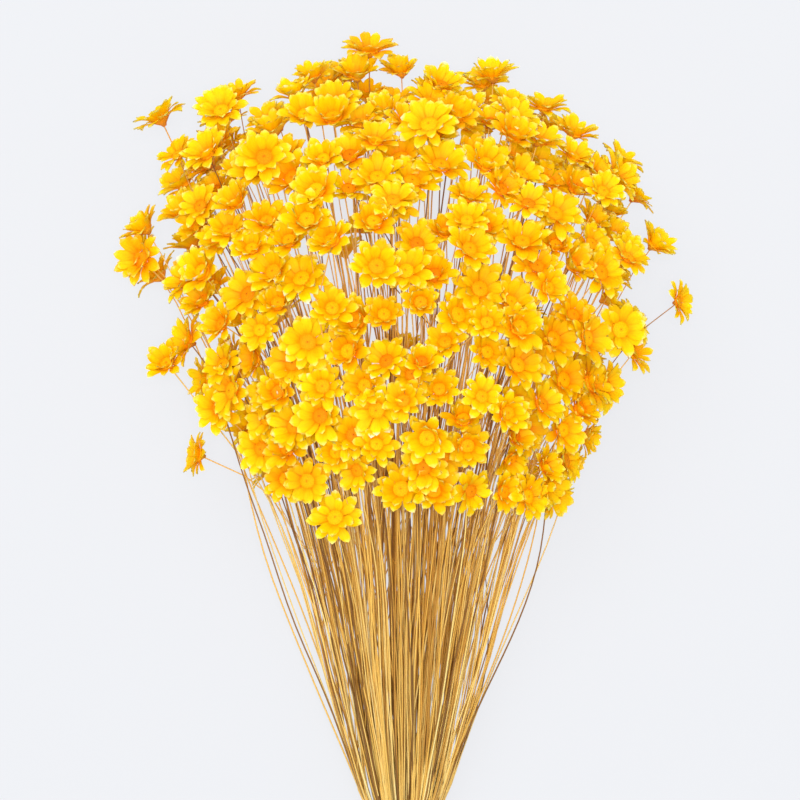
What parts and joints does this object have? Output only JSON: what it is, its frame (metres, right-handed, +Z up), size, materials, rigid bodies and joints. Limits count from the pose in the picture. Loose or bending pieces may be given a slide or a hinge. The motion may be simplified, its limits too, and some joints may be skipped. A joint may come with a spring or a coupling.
{
  "type": "dried starflower bunch",
  "caption": "Tied bunch of dried starflowers lying on a table, with many small yellow papery star heads on thin straw stems.",
  "frame": {"origin": "on the table, under the middle of the bunch's box", "axes": "+Y along the stems from the cut ends to the flower heads, +Z up from the table it lies on"},
  "size_m": [0.1826, 0.3238, 0.1183],
  "materials": {
    "petals": "matte",
    "stems": "matte",
    "twine": "matte"
  },
  "bodies": {
    "root": {"heads_01": "petals", "heads_02": "petals", "heads_03": "petals", "heads_04": "petals", "heads_05": "petals", "heads_06": "petals", "heads_07": "petals", "heads_08": "petals", "heads_09": "petals", "heads_10": "petals", "heads_11": "petals", "heads_12": "petals", "heads_13": "petals", "heads_14": "petals", "heads_15": "petals", "heads_16": "petals", "heads_17": "petals", "heads_18": "petals", "heads_19": "petals", "heads_20": "petals", "heads_21": "petals", "heads_22": "petals", "heads_23": "petals", "heads_24": "petals", "heads_25": "petals", "heads_26": "petals", "heads_27": "petals", "heads_28": "petals", "heads_29": "petals", "heads_30": "petals", "heads_31": "petals", "heads_32": "petals", "heads_33": "petals", "heads_34": "petals", "heads_35": "petals", "heads_36": "petals", "heads_37": "petals", "heads_38": "petals", "heads_39": "petals", "heads_40": "petals", "heads_41": "petals", "heads_42": "petals", "heads_43": "petals", "heads_44": "petals", "heads_45": "petals", "heads_46": "petals", "heads_47": "petals", "heads_48": "petals", "heads_49": "petals", "heads_50": "petals", "heads_51": "petals", "heads_52": "petals", "heads_53": "petals", "heads_54": "petals", "heads_55": "petals", "stems": "stems", "tie": "twine"}
  },
  "joints": []
}
